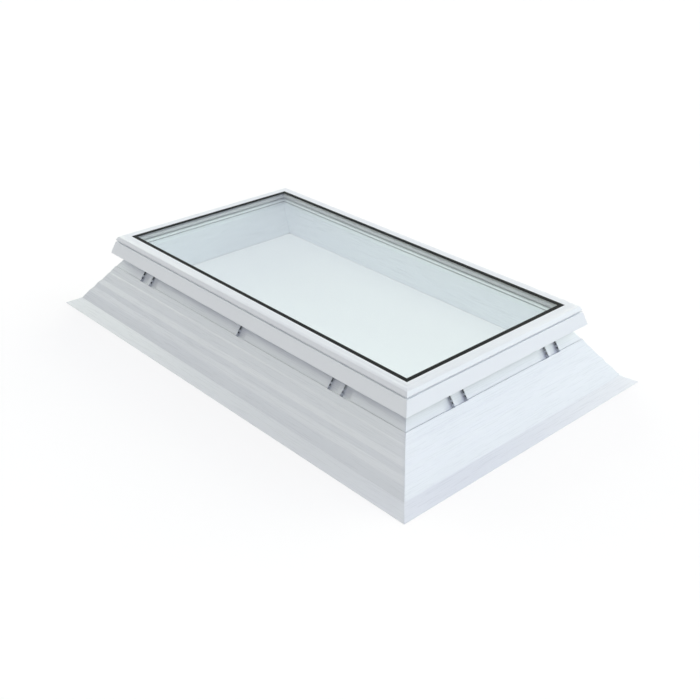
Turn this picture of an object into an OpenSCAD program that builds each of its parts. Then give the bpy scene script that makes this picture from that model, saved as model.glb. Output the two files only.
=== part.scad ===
// Fixed roof skylight: a sealed double-glazed unit in a two-part frame, on a
// sloping hollow-section upstand with a wedge-shaped base flange.
// The origin is the centre of the base, on the roof surface. X runs along the
// long sides and Z is up. Every ring-shaped piece is drawn as a cross-section
// whose x is the distance outward from the glazing line (the rectangle round
// the glazing gasket) and whose y is the height above the roof.

/* [Roof opening and upstand] */
// Length of the roof opening that the upstand stands round
opening_l = 1250; // [1040:5:2500]
// Width of the roof opening
opening_w = 750; // [620:5:1600]
// Height of the upstand, up to the seal that the frame sits on
upstand_h = 171; // [150:1:220]
// Angle of the walls from the vertical
wall_lean = 36.7; // [20:0.1:42]
// Thickness of the hollow wall, square to its face
wall_t = 14.3; // [12:0.1:17.5]
// Thickness of the wall's outer and inner skins
skin_t = 2.4; // [1.6:0.1:3.5]
// Thickness of the webs between the chambers
web_t = 1.8; // [1:0.1:3]
// Height of the upright neck at the top of the wall
neck_h = 11; // [8:1:20]
// Width of the neck, from its inner to its outer face
neck_w = 23.2; // [20:0.1:34]

/* [Base flange] */
// Reach of the flange beyond the roof opening
flange_reach = 38; // [30:1:90]
// Height at which the flange's sloping top meets the wall
flange_rise = 17.5; // [14:0.5:24]
// Thickness of the flange's outer edge
flange_edge_t = 1.2; // [0.8:0.1:2]

/* [Ribbed outer face] */
// Where the creases cross the outer face: 0 is at the flange, 1 at the bead
crease_at = [0, 0.23, 0.37, 0.49, 0.6, 0.8, 0.83, 0.99]; // [0:0.01:0.99]
// How far each crease stands proud of the straight wall
crease_rise = [0, 1, -0.4, 0.7, -0.9, -0.5, -1.1, 0.1]; // [-1.5:0.1:1.5]

/* [Bead and its notches] */
// Distance of the bead's lower edge below the top of the upstand
bead_drop = 55; // [48:1:70]
// Width of the bead's hollow part, along the wall
bead_w = 27.4; // [22:0.1:30]
// How far the bead's face lies inside the face of the wall below it
bead_set_back = 1.5; // [1:0.1:3]
// Width of the groove between the wall's face and the bead
groove_w = 1.5; // [1:0.1:3]
// Depth of that groove below the bead's face
groove_depth = 1; // [0.5:0.1:2.5]
// Thickness of the bead's face, over its chambers
bead_shell = 1.2; // [1:0.1:2]
// Distance of the middle of the bead's lower, round chamber from the bead's lower edge
round_chamber_at = 9; // [7:0.1:10]
// Width of the solid web between the bead's two chambers
bead_web = 4.5; // [1.5:0.1:5]
// Width of each milled notch in the bead
notch_w = 30; // [20:1:40]
// Depth of each notch below the bead's face
notch_depth = 7.5; // [5:0.1:8]
// Width of the stub of bead between the two notches of a pair
stub_w = 11.5; // [8:0.5:30]
// Distance from the middle of a long side to its notch pairs: left and right, from outside
long_pairs = [398, 351]; // [200:1:600]
// Distance from the middle of a short side to its notch pairs: left and right, from outside
short_pairs = [147, 182]; // [80:1:300]

/* [Base frame] */
// Gap between the upstand and the base frame, filled by the seal
seal_t = 3; // [2:0.5:5]
// Thickness of the tongue that the glass unit rests on
ledge_t = 5; // [4:0.5:8]
// Clear gap between the glass unit's edge and the rebate round it
rebate_gap = 6; // [4:0.5:10]
// Distance from the glazing line to the frame's outer top edge
base_top_reach = 31.6; // [28:0.1:40]
// Drop of the skirt below the frame's underside
skirt_drop = 18; // [12:0.5:24]
// How far the skirt flares out beyond the frame's top edge
skirt_flare = 11.4; // [6:0.1:16]
// Thickness of the skirt
skirt_t = 3.5; // [2.5:0.1:5]
// Wall thickness of the frame's hollow sections
frame_wall = 2.5; // [1.8:0.1:3.2]

/* [Glazing frame] */
// Height of the shadow gap between the two frames
shadow_gap = 5.1; // [3:0.1:8]
// How far the strip in the shadow gap is set back
gap_recess = 5; // [3:0.5:8]
// Height of the bevelled outer face
bevel_h = 9.4; // [7:0.1:14]
// How far the bevelled face leans in
bevel_in = 5.9; // [3:0.1:9]
// Height of the soft shoulder above the bevel
shoulder_h = 1.6; // [1:0.1:2]
// Width of the soft shoulder
shoulder_w = 6.5; // [4:0.1:8]
// Width of the raised lip next to the glass
lip_w = 9.5; // [6:0.1:12]
// Height of the raised lip
lip_h = 0.5; // [0.3:0.1:0.8]

/* [Glass unit] */
// Thickness of the outer pane
outer_pane_t = 6; // [4:0.5:8]
// Thickness of the inner, laminated pane
inner_pane_t = 6; // [4:0.5:8]
// Height of the sealed gap between the panes
cavity_h = 12; // [8:1:18]
// How far the outer pane lies below the glazing frame's top face
glass_set_down = 0.2; // [0:0.1:1]
// Width of the black gasket round the glass
gasket_w = 4; // [3:0.5:6]
// Width of the gasket's flat lip, from the glazing line on to the glass
gasket_lip_w = 11; // [8:0.5:14]
// Thickness of that lip
gasket_lip_t = 0.6; // [0.4:0.1:0.7]
// Width of the sealant round the spacer
edge_seal_w = 4; // [3:0.5:8]
// Width of the spacer bar
spacer_w = 7; // [5:0.5:8]
// Drop of the spacer bar's sloping shoulders, towards the inside of the unit
spacer_slope = 2.2; // [1:0.1:3]
// Wall thickness of the spacer bar
spacer_wall = 0.8; // [0.5:0.1:1.2]
// Thickness of the cushion gasket under the inner pane
cushion_t = 2.4; // [1.5:0.1:4]
// Width of the cushion gasket
cushion_w = 7; // [5:0.5:8]
// Length of a setting block
block_l = 60; // [40:5:100]

/* [Fixings] */
// Width of a clip that holds the frame down to the neck
clip_w = 20; // [14:1:24]
// Thickness of the clip's steel
clip_t = 1.5; // [1:0.1:2]
// Length of each leg of the clip
clip_leg = 14; // [12:1:15]
// Shank diameter of the clip screws
screw_d = 3.9; // [3:0.1:4.5]
// Head diameter of the clip screws
screw_head_d = 7.4; // [6:0.1:8.5]
// Head height of the clip screws
screw_head_h = 2.4; // [1.8:0.1:3]
// Length of the clip screws' shanks
screw_l = 9; // [7:0.5:10]
// Shank diameter of the screws that join the two frames
join_screw_d = 4.2; // [3.5:0.1:4.8]
// Distance from the glazing line to the screws that join the two frames
join_screw_y = 15; // [12:0.5:17]
// Diameter of the access holes under the screws that join the two frames
access_d = 9; // [8:0.5:10]

/* [Hidden] */

white_pvc = [0.88, 0.9, 0.92];
grey_rubber = [0.55, 0.57, 0.58];
black_rubber = [0.06, 0.06, 0.065];
clear_glass = [0.78, 0.88, 0.88, 0.35];
steel = [0.68, 0.69, 0.7];

// The wall: its inner face starts at the opening's edge and leans inward
lean_run = tan(wall_lean);
wall_hx = wall_t / cos(wall_lean);
inset = upstand_h - neck_h;
// Distance from the opening's edge to the glazing line; the neck overlaps it
neck_overlap = 13.2;
glazing_in = inset * lean_run - neck_overlap;
glazing_l = opening_l - 2 * glazing_in;
glazing_w = opening_w - 2 * glazing_in;
half_l = glazing_l / 2;
half_w = glazing_w / 2;
inner_foot = glazing_in;
neck_out = neck_w - neck_overlap;
neck_foot_z = (inner_foot + wall_hx - bead_set_back / cos(wall_lean) - neck_out) / lean_run;
flange_out = inner_foot + flange_reach;
bead_z = upstand_h - bead_drop;
// The bead's lower edge, as a distance along the wall
bead_foot = bead_z / cos(wall_lean) - wall_t * tan(wall_lean);

// Heights of what stands on the upstand. The glass unit's thickness sets the
// height of the frame's top, and the base frame's body fills what is left.
base_z = upstand_h + seal_t;
ledge_z = base_z + ledge_t;
inner_pane_z = ledge_z + cushion_t;
cavity_z = inner_pane_z + inner_pane_t;
outer_pane_z = cavity_z + cavity_h;
frame_top_z = outer_pane_z + outer_pane_t + glass_set_down;
bevel_top_z = frame_top_z - shoulder_h;
glazing_z = bevel_top_z - bevel_h;
base_top_z = glazing_z - shadow_gap;
base_body_h = base_top_z - base_z;
skirt_z = base_z - skirt_drop;

// Room for solids that are cut to length by the mitres
spare = 20;

// Outward distance of the wall's inner face, and of a line parallel to it
function inner_x(z) = inner_foot - z * lean_run;
function outer_x(z) = inner_x(z) + wall_hx;
// A point at height z on the outer face, moved out square to the wall
function face_point(z, out) = [outer_x(z) + out * cos(wall_lean), z + out * sin(wall_lean)];
// A point a given way up the wall from its foot, and a given way out from its inner face
function wall_point(along, out) = [
    inner_foot - along * sin(wall_lean) + out * cos(wall_lean),
    along * cos(wall_lean) + out * sin(wall_lean)
];

// The four sides: which are long, and how each is turned from the back side
SIDES = ["front", "back", "left", "right"];
function is_long(name) = name == "front" || name == "back";
function turn_of(name) = name == "back" ? 0 : name == "front" ? 180 : name == "left" ? 90 : -90;
// Half a side's length at the glazing line, and its distance from the centre
function half_run(name) = is_long(name) ? half_l : half_w;
function half_off(name) = is_long(name) ? half_w : half_l;

// Puts children on a side: X along it, Y outward from the glazing line, Z up
module on_side(name) {
    rotate([0, 0, turn_of(name)])
        translate([0, half_off(name), 0])
            children();
}

// Draws one side of a rectangular ring from its cross-section, with mitred ends
module mitred_side(name) {
    outward = flange_out + spare;
    inward = 2 * neck_overlap;
    run = half_run(name);
    on_side(name)
        intersection() {
            rotate([90, 0, 90])
                linear_extrude(height = 2 * (run + outward), center = true)
                    children();
            translate([0, 0, -spare])
                linear_extrude(height = frame_top_z + 2 * spare)
                    polygon([
                        [-run - outward, outward], [run + outward, outward],
                        [run - inward, -inward], [-run + inward, -inward]
                    ]);
        }
}

// A flat ring round the glazing line between two outward distances
module ring(inner, outer, z, h) {
    translate([0, 0, z])
        linear_extrude(height = h)
            difference() {
                square([glazing_l + 2 * outer, glazing_w + 2 * outer], center = true);
                square([glazing_l + 2 * inner, glazing_w + 2 * inner], center = true);
            }
}

// ---- Upstand ----

// Height of a crease on the face between the flange and the bead
function crease_height(share) = flange_rise + share * (bead_z - flange_rise);

// Outline of the wedge-shaped flange, the wall with its set-back bead, and the neck
module upstand_outline() {
    polygon(concat(
        [[inner_foot, 0], [flange_out, 0], [flange_out, flange_edge_t]],
        [for (i = [0 : len(crease_at) - 1]) face_point(crease_height(crease_at[i]), crease_rise[i])],
        [
            face_point(bead_z, 0),
            wall_point(bead_foot, wall_t - bead_set_back - groove_depth),
            wall_point(bead_foot + groove_w, wall_t - bead_set_back),
            [neck_out, neck_foot_z], [neck_out, upstand_h],
            [-neck_overlap, upstand_h], [-neck_overlap, inset]
        ]
    ));
}

// The wall's chambers: evenly spaced from the flange to the bead, then the bead's
// two, then one up to the neck
wall_len = inset / cos(wall_lean);
chambers_from = (flange_rise + skin_t) / cos(wall_lean) + web_t;
chambers_to = bead_foot - skin_t - groove_depth / 2;
web_pitch = 27;
chamber_count = round((chambers_to - chambers_from) / web_pitch);
// The deepest crease, which the chambers keep clear of
rib_depth = -min(crease_rise);

// One chamber of the wall, between two distances along it and two distances from the
// wall's inner face
module wall_chamber(from, to, under, over = skin_t) {
    polygon([
        wall_point(from, over), wall_point(from, under),
        wall_point(to, under), wall_point(to, over)
    ]);
}

// The hollow inside the flange, with its sloping top
module flange_chamber() {
    top_slope = (flange_rise - flange_edge_t) / (flange_out - outer_x(flange_rise));
    from = inner_foot + skin_t;
    to = flange_out - (2 * skin_t + 1) / top_slope;
    crest = outer_x(flange_rise) + skin_t / 2;
    polygon([
        [from, skin_t],
        [to, skin_t],
        [to, flange_edge_t + (flange_out - to) * top_slope - skin_t],
        [crest, flange_rise - skin_t * 1.2],
        [inner_x(flange_rise) + skin_t * 2, flange_rise - skin_t * 1.2]
    ]);
}

// The hollow inside the neck
module neck_chamber() {
    translate([-neck_overlap + skin_t, inset + 1])
        square([neck_w - 2 * skin_t, neck_h - 1 - skin_t]);
}

// The floor of a notch, as a distance from the wall's inner face
notch_floor = wall_t - bead_set_back - notch_depth;

module upstand_section() {
    step = (chambers_to - chambers_from) / chamber_count;
    bead_under = wall_t - bead_set_back - bead_shell;
    bead_over = notch_floor + 0.4;
    round_d = bead_under - bead_over;
    bead_top = bead_foot + bead_w;
    web_top = bead_foot + round_chamber_at + round_d / 2 + bead_web;
    difference() {
        upstand_outline();
        flange_chamber();
        neck_chamber();
        for (i = [0 : chamber_count - 1]) {
            from = chambers_from + i * step;
            wall_chamber(from, from + step - web_t, wall_t - skin_t - rib_depth);
        }
        translate(wall_point(bead_foot + round_chamber_at, bead_over + round_d / 2))
            circle(d = round_d, $fn = 48);
        wall_chamber(web_top, bead_top, bead_under, bead_over);
        wall_chamber(bead_top + web_t, wall_len - wall_t * 0.6, wall_t - bead_set_back - skin_t);
    }
}

// Distances from a side's middle to its notch pairs; from outside, left is positive
function pairs(name) = is_long(name) ? long_pairs : short_pairs;

// Middles of the notches along a side: two pairs, and one in the middle of a long side
function notch_places(name) =
    let (centres = [pairs(name)[0], -pairs(name)[1]], step = (stub_w + notch_w) / 2)
    concat([for (x = centres) for (t = [-1, 1]) x + t * step], is_long(name) ? [0] : []);

module at_notches(name) {
    on_side(name)
        for (x = notch_places(name))
            translate([x, 0, 0])
                children();
}

// A notch milled through the bead and its two chambers
module notch() {
    below = 1;
    foot = wall_point(bead_foot - below, notch_floor);
    translate([-notch_w / 2, foot.x, foot.y])
        rotate([wall_lean, 0, 0])
            cube([notch_w, wall_t * 2, bead_w + below]);
}

module upstand_side(name) {
    color(white_pvc)
        difference() {
            mitred_side(name) upstand_section();
            at_notches(name) {
                notch();
                clip_side_hole(neck_out - skin_t - 1, skin_t + 2);
            }
        }
}

// ---- Base frame ----

module base_frame_section() {
    skirt_out = base_top_reach + skirt_flare;
    flare_slope = skirt_flare / (base_top_z - skirt_z);
    rebate_x = rebate_gap - gasket_w;
    skirt_inner_top = base_top_reach + flare_slope * base_body_h - skirt_t;
    difference() {
        polygon([
            [-neck_overlap, base_z], [-neck_overlap, ledge_z],
            [rebate_x, ledge_z], [rebate_x, base_top_z],
            [base_top_reach, base_top_z],
            [skirt_out - 0.3, skirt_z + 1], [skirt_out - 0.6, skirt_z],
            [skirt_out - skirt_t, skirt_z],
            [skirt_inner_top, base_z]
        ]);
        polygon([
            [rebate_x + frame_wall, base_z + frame_wall],
            [rebate_x + frame_wall, base_top_z - frame_wall],
            [base_top_reach - frame_wall, base_top_z - frame_wall],
            [base_top_reach - frame_wall + flare_slope * (base_body_h - 2 * frame_wall),
                base_z + frame_wall]
        ]);
    }
}

module base_frame_side(name) {
    color(white_pvc)
        difference() {
            mitred_side(name) base_frame_section();
            at_notches(name) clip_up_hole(base_z - 1, frame_wall + 2);
            at_joins(name) {
                join_hole(base_top_z - frame_wall - 1, frame_wall + 2);
                translate([0, 0, base_z - 1])
                    cylinder(d = access_d, h = frame_wall + 2, $fn = 48);
            }
        }
}

// ---- Glazing frame ----

// Outer reach of the glazing frame: flush with the base frame below the gap
glazing_reach = base_top_reach - 0.3;

module glazing_frame_section() {
    top_out = glazing_reach - bevel_in;
    lip_z = frame_top_z + lip_h;
    w = frame_wall;
    difference() {
        polygon([
            [0, glazing_z], [glazing_reach, glazing_z],
            [top_out, bevel_top_z], [top_out - shoulder_w, frame_top_z],
            [lip_w + lip_h, frame_top_z], [lip_w, lip_z],
            [lip_h, lip_z], [0, lip_z - lip_h]
        ]);
        polygon([
            [w, glazing_z + w], [glazing_reach - w * 1.4, glazing_z + w],
            [top_out - w, bevel_top_z - w * 0.7], [top_out - shoulder_w - w / 2, frame_top_z - w],
            [w, frame_top_z - w]
        ]);
    }
}

module glazing_frame_side(name) {
    color(white_pvc)
        difference() {
            mitred_side(name) glazing_frame_section();
            at_joins(name) join_hole(glazing_z - 1, frame_wall + 2);
        }
}

// ---- Seals ----

module upstand_seal() {
    margin = 2;
    color(grey_rubber)
        ring(-neck_overlap + margin, neck_out - margin, upstand_h, seal_t);
}

// The strip that carries the glazing frame, set back in the shadow gap
module frame_strip() {
    color(white_pvc)
        difference() {
            ring(rebate_gap - gasket_w, base_top_reach - gap_recess, base_top_z, shadow_gap);
            for (name = SIDES)
                at_joins(name) join_hole(base_top_z - 1, shadow_gap + 2);
        }
}

// The gasket fills the joint round the glass, and its lip lies on the outer pane
module glazing_gasket() {
    foot_z = cavity_z + cavity_h / 2;
    pane_top = outer_pane_z + outer_pane_t;
    color(black_rubber) {
        ring(-gasket_w, 0, foot_z, pane_top + gasket_lip_t - foot_z);
        ring(-gasket_lip_w, 0, pane_top, gasket_lip_t);
    }
}

module cushion_gasket() {
    color(grey_rubber)
        ring(-gasket_w - cushion_w - 1, -gasket_w - 1, ledge_z, cushion_t);
}

// ---- Glass unit ----

module pane(z, t) {
    translate([0, 0, z])
        linear_extrude(height = t)
            square([glazing_l - 2 * gasket_w, glazing_w - 2 * gasket_w], center = true);
}

module outer_pane() {
    color(clear_glass)
        pane(outer_pane_z, outer_pane_t);
}

module inner_pane() {
    color(clear_glass)
        pane(inner_pane_z, inner_pane_t);
}

module edge_sealant() {
    color(black_rubber)
        ring(-gasket_w - edge_seal_w, -gasket_w, cavity_z, cavity_h);
}

// Cross-section of the hollow spacer, with shoulders that slope away from the panes
module spacer_section() {
    out = -gasket_w - edge_seal_w;
    top = cavity_z + cavity_h;
    ledge = 1;
    w = spacer_wall;
    difference() {
        polygon([
            [out, cavity_z], [out, top], [out - ledge, top], [out - spacer_w, top - spacer_slope],
            [out - spacer_w, cavity_z + spacer_slope], [out - ledge, cavity_z]
        ]);
        polygon([
            [out - w, cavity_z + w], [out - w, top - w],
            [out - ledge, top - w], [out - spacer_w + w, top - spacer_slope - w],
            [out - spacer_w + w, cavity_z + spacer_slope + w], [out - ledge, cavity_z + w]
        ]);
    }
}

module spacer_bar() {
    color(steel)
        for (name = SIDES)
            mitred_side(name) spacer_section();
}

// Blocks in the rebate that carry and centre the glass unit's edge, two a side
module setting_blocks() {
    color(grey_rubber)
        for (name = SIDES)
            on_side(name)
                for (s = [-1, 1])
                    translate([s * half_run(name) / 2 - block_l / 2, -gasket_w, ledge_z])
                        cube([block_l, rebate_gap, cavity_z - ledge_z]);
}

// ---- Fixings ----

// Where the clip's screws go: outward from the neck, and down from the base frame
clip_up_y = neck_out + clip_leg - 5;
clip_side_z = base_z - clip_leg + 4.5;

// Holes for the clip's two screws, in a side's own directions
module clip_up_hole(z, h) {
    translate([0, clip_up_y, z])
        cylinder(d = screw_d, h = h, $fn = 32);
}

module clip_side_hole(y, h) {
    translate([0, y, clip_side_z])
        rotate([-90, 0, 0])
            cylinder(d = screw_d, h = h, $fn = 32);
}

// A steel angle: one leg against the neck, the other under the base frame
module clip() {
    difference() {
        translate([-clip_w / 2, neck_out, base_z - clip_leg])
            cube([clip_w, clip_leg, clip_leg]);
        translate([-clip_w / 2 - 1, neck_out + clip_t, base_z - clip_leg - 1])
            cube([clip_w + 2, clip_leg, clip_leg + 1 - clip_t]);
        clip_up_hole(base_z - clip_t - 1, clip_t + 2);
        clip_side_hole(neck_out - 1, clip_t + 2);
    }
}

module hold_down_clips() {
    color(steel)
        for (name = SIDES)
            at_notches(name) clip();
}

// A pan-head screw with its seat at z = 0 and its shank up
module screw(d, l, head_d, head_h) {
    rotate_extrude($fn = 48)
        polygon([
            [0, -head_h], [head_d * 0.3, -head_h], [head_d / 2, -head_h * 0.4], [head_d / 2, 0],
            [d / 2, 0], [d / 2, l - d / 2], [0, l]
        ]);
}

// The screws that pull the base frame down on to the clips
module clip_screws_up() {
    color(steel)
        for (name = SIDES)
            at_notches(name)
                translate([0, clip_up_y, base_z - clip_t])
                    screw(screw_d, screw_l, screw_head_d, screw_head_h);
}

// The screws that hold the clips to the neck
module clip_screws_side() {
    color(steel)
        for (name = SIDES)
            at_notches(name)
                translate([0, neck_out + clip_t, clip_side_z])
                    rotate([90, 0, 0])
                        screw(screw_d, screw_l, screw_head_d, screw_head_h);
}

// Puts children at the screws that join the two frames: one between each notch
// pair and the corner, and the others between the notches
module at_joins(name) {
    shares = is_long(name) ? [1 / 3, 2 / 3] : [];
    places = [for (pair = pairs(name)) concat(pair * shares, (pair + half_run(name)) / 2)];
    on_side(name)
        for (x = concat(places[0], -places[1], is_long(name) ? [] : [0]))
            translate([x, join_screw_y, 0])
                children();
}

module join_hole(z, h) {
    translate([0, 0, z])
        cylinder(d = join_screw_d, h = h, $fn = 32);
}

// The screws that join the two frames, driven up through the access holes
module frame_joining_screws() {
    length = frame_wall * 2 + shadow_gap + 1.5;
    color(steel)
        for (name = SIDES)
            at_joins(name)
                translate([0, 0, base_top_z - frame_wall])
                    screw(join_screw_d, length, screw_head_d, screw_head_h);
}

module upstand_front() { upstand_side("front"); }
module upstand_back() { upstand_side("back"); }
module upstand_left() { upstand_side("left"); }
module upstand_right() { upstand_side("right"); }
module base_frame_front() { base_frame_side("front"); }
module base_frame_back() { base_frame_side("back"); }
module base_frame_left() { base_frame_side("left"); }
module base_frame_right() { base_frame_side("right"); }
module glazing_frame_front() { glazing_frame_side("front"); }
module glazing_frame_back() { glazing_frame_side("back"); }
module glazing_frame_left() { glazing_frame_side("left"); }
module glazing_frame_right() { glazing_frame_side("right"); }

upstand_front();
upstand_back();
upstand_left();
upstand_right();
base_frame_front();
base_frame_back();
base_frame_left();
base_frame_right();
glazing_frame_front();
glazing_frame_back();
glazing_frame_left();
glazing_frame_right();
upstand_seal();
frame_strip();
outer_pane();
inner_pane();
spacer_bar();
edge_sealant();
glazing_gasket();
cushion_gasket();
setting_blocks();
hold_down_clips();
clip_screws_up();
clip_screws_side();
frame_joining_screws();
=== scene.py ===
"""Looks of a fixed roof skylight: finishes for every CAD node, and the studio.

Units are metres. Z is up, X runs along the long sides, and the camera stands
off the front right corner.
"""
import math

import bpy
from mathutils import Matrix, Vector

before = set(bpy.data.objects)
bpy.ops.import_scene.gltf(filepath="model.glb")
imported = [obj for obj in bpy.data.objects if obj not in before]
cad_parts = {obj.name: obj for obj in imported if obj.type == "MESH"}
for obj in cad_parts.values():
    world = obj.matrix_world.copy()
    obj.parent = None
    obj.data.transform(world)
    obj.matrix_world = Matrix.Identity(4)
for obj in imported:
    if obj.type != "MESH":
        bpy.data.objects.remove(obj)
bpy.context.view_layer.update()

# ---- Camera: turned round the upright axis, raised, and rolled a little ----
AZIMUTH = math.radians(46.57)
ELEVATION = math.radians(28.86)
ROLL = math.radians(0.82)
DISTANCE = 2.6604
ASIDE = 0.0435
LOWER = 0.0271
LENS = 51.83
SENSOR = 36.0

# ---- Studio ----
# Soft boxes: compass angle from +X, height angle, colour times strength.
# A least-squares fit to colours read off the photo gave this list, SKY and
# FLOOR_GLOW, so they suit the photo's side only. Three rows were then changed,
# (135, 18), (225, 50) and (315, 50), and a weak trial light was merged into
# (45, 50).
SOFT_BOXES = (
    (45, 18, (1.33, 1.47, 1.30)),
    (45, 50, (0.32, 0.30, 0.52)),
    (90, 18, (2.28, 2.27, 1.79)),
    (135, 18, (0.27, 0.28, 0.29)),
    (180, 18, (1.80, 1.92, 1.62)),
    (225, 50, (0.94, 0.92, 0.74)),
    (315, 50, (0.54, 0.56, 0.58)),
)
SOFT_BOX_ANGLE = math.radians(50)
SKY = (0.0, 0.0, 0.075, 1)
FLOOR_SIZE = 40.0
FLOOR_GAP = 0.0005
FLOOR_GLOW = 0.76
FLOOR_ALBEDO = 0.25


def make_camera():
    back = Vector((
        math.sin(AZIMUTH) * math.cos(ELEVATION),
        -math.cos(AZIMUTH) * math.cos(ELEVATION),
        math.sin(ELEVATION),
    ))
    level_right = (-back).cross(Vector((0, 0, 1))).normalized()
    level_up = level_right.cross(-back)
    right = math.cos(ROLL) * level_right + math.sin(ROLL) * level_up
    up = -math.sin(ROLL) * level_right + math.cos(ROLL) * level_up
    place = back * DISTANCE + right * ASIDE - up * LOWER
    data = bpy.data.cameras.new("camera")
    data.lens = LENS
    data.sensor_width = SENSOR
    camera = bpy.data.objects.new("camera", data)
    bpy.context.scene.collection.objects.link(camera)
    turn = Matrix((right, up, back)).transposed().to_4x4()
    camera.matrix_world = Matrix.Translation(place) @ turn
    bpy.context.scene.camera = camera


make_camera()


# ---- Node helpers ----
class Nodes:
    """A material's node tree, with short calls to add and join nodes."""

    def __init__(self, name):
        self.material = bpy.data.materials.new(name)
        self.material.use_nodes = True
        self.tree = self.material.node_tree
        self.tree.nodes.clear()
        self.output = self.add("ShaderNodeOutputMaterial")

    def add(self, kind, values=(), **settings):
        made = self.tree.nodes.new(kind)
        for key, value in settings.items():
            setattr(made, key, value)
        for socket, value in dict(values).items():
            if isinstance(value, bpy.types.NodeSocket):
                self.tree.links.new(value, made.inputs[socket])
            else:
                made.inputs[socket].default_value = value
        return made

    def link(self, source, target):
        self.tree.links.new(source, target)

    def place(self):
        """Object coordinates: the same as the CAD frame's, in metres."""
        return self.add("ShaderNodeTexCoord").outputs["Object"]

    def stretched(self, scale):
        return self.add("ShaderNodeMapping", {"Vector": self.place(), "Scale": scale}).outputs[0]

    def noise(self, vector, scale, detail=2.0, roughness=0.5):
        made = self.add(
            "ShaderNodeTexNoise",
            {"Vector": vector, "Scale": scale, "Detail": detail, "Roughness": roughness},
        )
        return made.outputs["Fac"]

    def spread(self, value, low, high, from_low=0.3, from_high=0.7):
        """value, taken from from_low..from_high to low..high."""
        made = self.add(
            "ShaderNodeMapRange",
            {"Value": value, "From Min": from_low, "From Max": from_high,
             "To Min": low, "To Max": high},
        )
        return made.outputs["Result"]

    def mix(self, factor, a, b):
        made = self.add("ShaderNodeMix", data_type="RGBA")
        for socket, value in ((made.inputs[0], factor), (made.inputs[6], a), (made.inputs[7], b)):
            if isinstance(value, bpy.types.NodeSocket):
                self.link(value, socket)
            else:
                socket.default_value = value
        return made.outputs[2]

    def bump(self, height, distance, strength=1.0, normal=None):
        values = {"Height": height, "Distance": distance, "Strength": strength}
        if normal is not None:
            values["Normal"] = normal
        return self.add("ShaderNodeBump", values).outputs["Normal"]


ALONG_X = (1.0, 40.0, 40.0)
ALONG_Y = (40.0, 1.0, 40.0)


# Painted shade colour laid over narrow hollows
PAINTED_HOLLOW_SHADE = (0.03, 0.03, 0.032, 1)
# Hollows narrower than about this get painted shade
HOLLOW_WIDTH = 0.012
# Share of open surroundings: painted shade is full below the first, none above the second
HOLLOW_DEEP = 0.12
HOLLOW_OPEN = 0.3


def extruded_pvc(name, along, light, dark, roughness, edge, paint_hollow_shade=False):
    """White PVC with die lines along the bar, and edges softened in the shading.

    With paint_hollow_shade, narrow hollows get painted shade from an ambient-occlusion
    node, because the notches are seen black. This painted shade stands for no known material.
    """
    n = Nodes(name)
    lines = n.noise(n.stretched(along), 12.0, 4.0, 0.6)
    cloud = n.noise(n.place(), 5.0, 3.0)
    grain = n.noise(n.place(), 1400.0, 2.0)
    edges = n.add("ShaderNodeBevel", {"Radius": edge}, samples=4).outputs["Normal"]
    normal = n.bump(lines, 0.00003, 1.0, edges)
    normal = n.bump(grain, 0.00001, 0.6, normal)
    colour = n.mix(n.spread(cloud, 0.0, 1.0), dark, light)
    if paint_hollow_shade:
        # Painted shade: an ambient-occlusion node darkens narrow hollows towards the painted shade
        # colour
        open_sky = n.add("ShaderNodeAmbientOcclusion", {"Distance": HOLLOW_WIDTH}, samples=8)
        unshaded_share = n.spread(open_sky.outputs["AO"], 0.0, 1.0, HOLLOW_DEEP, HOLLOW_OPEN)
        colour = n.mix(unshaded_share, PAINTED_HOLLOW_SHADE, colour)
    shader = n.add("ShaderNodeBsdfPrincipled", {
        "Base Color": colour,
        "Roughness": n.spread(lines, roughness - 0.03, roughness + 0.04),
        "Normal": normal,
    })
    n.link(shader.outputs[0], n.output.inputs["Surface"])
    return n.material


def rubber(name, colour, worn, shine=0.5):
    n = Nodes(name)
    grain = n.noise(n.place(), 900.0, 3.0)
    cloud = n.noise(n.place(), 18.0, 3.0)
    shader = n.add("ShaderNodeBsdfPrincipled", {
        "Base Color": n.mix(n.spread(cloud, 0.0, 1.0), colour, worn),
        "Roughness": n.spread(grain, 0.5, 0.7),
        "Specular IOR Level": shine,
        "Normal": n.bump(grain, 0.00005, 0.7),
    })
    n.link(shader.outputs[0], n.output.inputs["Surface"])
    return n.material


def pane_glass(name, tint):
    """Clear glass. Light on its way to the inside passes untinted, to save bounces."""
    n = Nodes(name)
    sweep = n.noise(n.place(), 3.0, 2.0)
    smears = n.noise(n.place(), 40.0, 3.0)
    glass = n.add("ShaderNodeBsdfPrincipled", {
        "Base Color": tint,
        "Roughness": n.spread(smears, 0.0, 0.012, 0.45, 0.8),
        "IOR": 1.5,
        "Transmission Weight": 1.0,
        "Normal": n.bump(sweep, 0.00005, 0.2),
    })
    clear = n.add("ShaderNodeBsdfTransparent", {"Color": (1, 1, 1, 1)})
    rays = n.add("ShaderNodeLightPath")
    shader = n.add("ShaderNodeMixShader", {0: rays.outputs["Is Shadow Ray"]})
    n.link(glass.outputs[0], shader.inputs[1])
    n.link(clear.outputs[0], shader.inputs[2])
    n.link(shader.outputs[0], n.output.inputs["Surface"])
    return n.material


# Spacer faces more level than this carry the butyl that meets the panes
LEVEL_FROM = 0.97
LEVEL_FULL = 0.98


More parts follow.
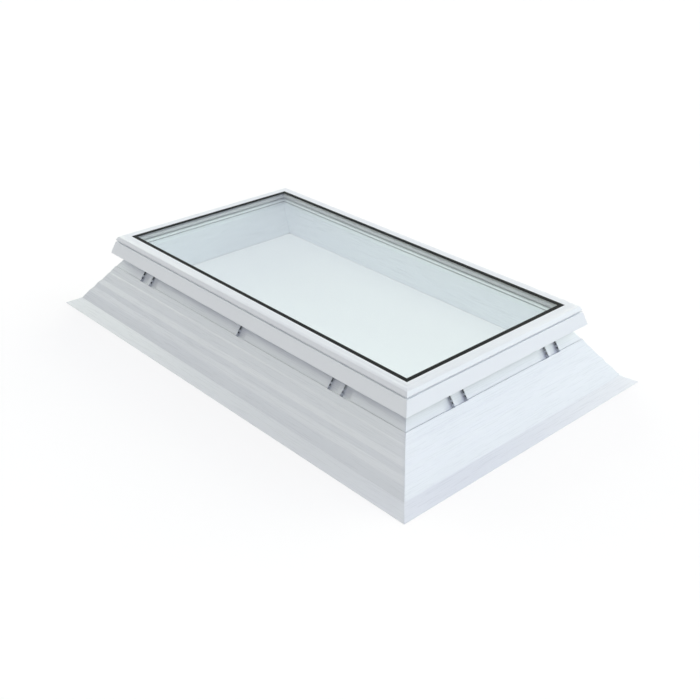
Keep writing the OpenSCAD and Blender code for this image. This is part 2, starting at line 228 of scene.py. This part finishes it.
def spacer_metal(name):
    """Mill-finish aluminium, with black butyl where it meets the panes."""
    n = Nodes(name)
    lines = n.noise(n.stretched((6.0, 6.0, 60.0)), 30.0, 3.0)
    up = n.add("ShaderNodeSeparateXYZ", {0: n.add("ShaderNodeNewGeometry").outputs["Normal"]})
    flat = n.add("ShaderNodeMath", {0: up.outputs["Z"]}, operation="ABSOLUTE").outputs[0]
    butyl = n.spread(flat, 0.0, 1.0, LEVEL_FROM, LEVEL_FULL)
    metal = n.add("ShaderNodeBsdfPrincipled", {
        "Base Color": n.mix(lines, (0.43, 0.45, 0.46, 1), (0.51, 0.53, 0.54, 1)),
        "Metallic": 0.3,
        "Roughness": n.spread(lines, 0.35, 0.5),
        "Normal": n.bump(lines, 0.00003, 0.6),
    })
    seal = n.add("ShaderNodeBsdfPrincipled", {
        "Base Color": (0.012, 0.016, 0.016, 1),
        "Roughness": 0.6,
    })
    shader = n.add("ShaderNodeMixShader", {0: butyl})
    n.link(metal.outputs[0], shader.inputs[1])
    n.link(seal.outputs[0], shader.inputs[2])
    n.link(shader.outputs[0], n.output.inputs["Surface"])
    return n.material


def stainless(name):
    n = Nodes(name)
    brush = n.noise(n.stretched((1.0, 1.0, 12.0)), 400.0, 2.0)
    shader = n.add("ShaderNodeBsdfPrincipled", {
        "Base Color": n.mix(brush, (0.50, 0.51, 0.52, 1), (0.66, 0.67, 0.68, 1)),
        "Metallic": 1.0,
        "Roughness": n.spread(brush, 0.22, 0.38),
        "Normal": n.bump(brush, 0.00002, 0.5),
    })
    n.link(shader.outputs[0], n.output.inputs["Surface"])
    return n.material


def assign(node, material):
    """Puts a material in every slot of a CAD node's object."""
    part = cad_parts[node]
    for slot in part.material_slots:
        slot.material = material


# ---- Finishes ----
WHITE = (0.80, 0.83, 0.86, 1)
WHITE_SHADE = (0.785, 0.815, 0.847, 1)
FRAME_WHITE = (0.82, 0.845, 0.87, 1)
FRAME_SHADE = (0.805, 0.83, 0.857, 1)

for along, sides in ((ALONG_X, ("front", "back")), (ALONG_Y, ("left", "right"))):
    way = "x" if along is ALONG_X else "y"
    # The upstand walls' PVC carries painted shade in its narrow hollows
    wall = extruded_pvc("wall_pvc_" + way, along, WHITE, WHITE_SHADE, 0.28, 0.0008, paint_hollow_shade=True)
    bar = extruded_pvc("frame_pvc_" + way, along, FRAME_WHITE, FRAME_SHADE, 0.32, 0.0006)
    for side in sides:
        assign("upstand_" + side, wall)
        assign("base_frame_" + side, bar)
        assign("glazing_frame_" + side, bar)
assign("frame_strip", extruded_pvc("strip_pvc", (8.0, 8.0, 40.0), WHITE, WHITE_SHADE, 0.5, 0.0004))

outer_glass = pane_glass("outer_glass", (0.945, 0.985, 0.98, 1))
inner_glass = pane_glass("inner_glass", (0.945, 0.985, 0.98, 1))
assign("outer_pane", outer_glass)
assign("inner_pane", inner_glass)

black_rubber = rubber("black_epdm", (0.006, 0.008, 0.008, 1), (0.010, 0.012, 0.012, 1), 0.15)
grey_rubber = rubber("grey_tpe", (0.20, 0.21, 0.215, 1), (0.25, 0.26, 0.265, 1))
for node in ("glazing_gasket", "edge_sealant"):
    assign(node, black_rubber)
for node in ("upstand_seal", "setting_blocks"):
    assign(node, grey_rubber)
assign("cushion_gasket", rubber("pale_tpe", (0.56, 0.58, 0.59, 1), (0.60, 0.62, 0.63, 1)))
assign("spacer_bar", spacer_metal("spacer_aluminium"))

screw_steel = stainless("screw_steel")
for node in ("hold_down_clips", "clip_screws_up", "clip_screws_side", "frame_joining_screws"):
    assign(node, screw_steel)


# ---- Making the studio ----
def make_floor():
    half = FLOOR_SIZE / 2
    mesh = bpy.data.meshes.new("floor")
    corners = [(-half, -half, 0), (half, -half, 0), (half, half, 0), (-half, half, 0)]
    mesh.from_pydata(corners, [], [(0, 1, 2, 3)])
    floor = bpy.data.objects.new("floor", mesh)
    floor.location.z = -FLOOR_GAP
    bpy.context.scene.collection.objects.link(floor)
    n = Nodes("floor_white")
    glow = n.add("ShaderNodeEmission", {"Color": (1, 1, 1, 1), "Strength": FLOOR_GLOW})
    matt = n.add("ShaderNodeBsdfDiffuse", {"Color": (FLOOR_ALBEDO,) * 3 + (1,)})
    both = n.add("ShaderNodeAddShader")
    n.link(glow.outputs[0], both.inputs[0])
    n.link(matt.outputs[0], both.inputs[1])
    n.link(both.outputs[0], n.output.inputs["Surface"])
    mesh.materials.append(n.material)


def make_lights():
    world = bpy.data.worlds.new("studio")
    bpy.context.scene.world = world
    world.use_nodes = True
    world.node_tree.nodes["Background"].inputs["Color"].default_value = SKY
    for compass, height, colour in SOFT_BOXES:
        name = f"soft_box_{compass}_{height}"
        data = bpy.data.lights.new(name, "SUN")
        data.energy = max(colour)
        data.color = [channel / max(colour) for channel in colour]
        data.angle = SOFT_BOX_ANGLE
        box = bpy.data.objects.new(name, data)
        box.rotation_euler = (0, math.radians(90 - height), math.radians(compass))
        bpy.context.scene.collection.objects.link(box)


make_floor()
make_lights()
bpy.context.scene.view_settings.view_transform = "Standard"
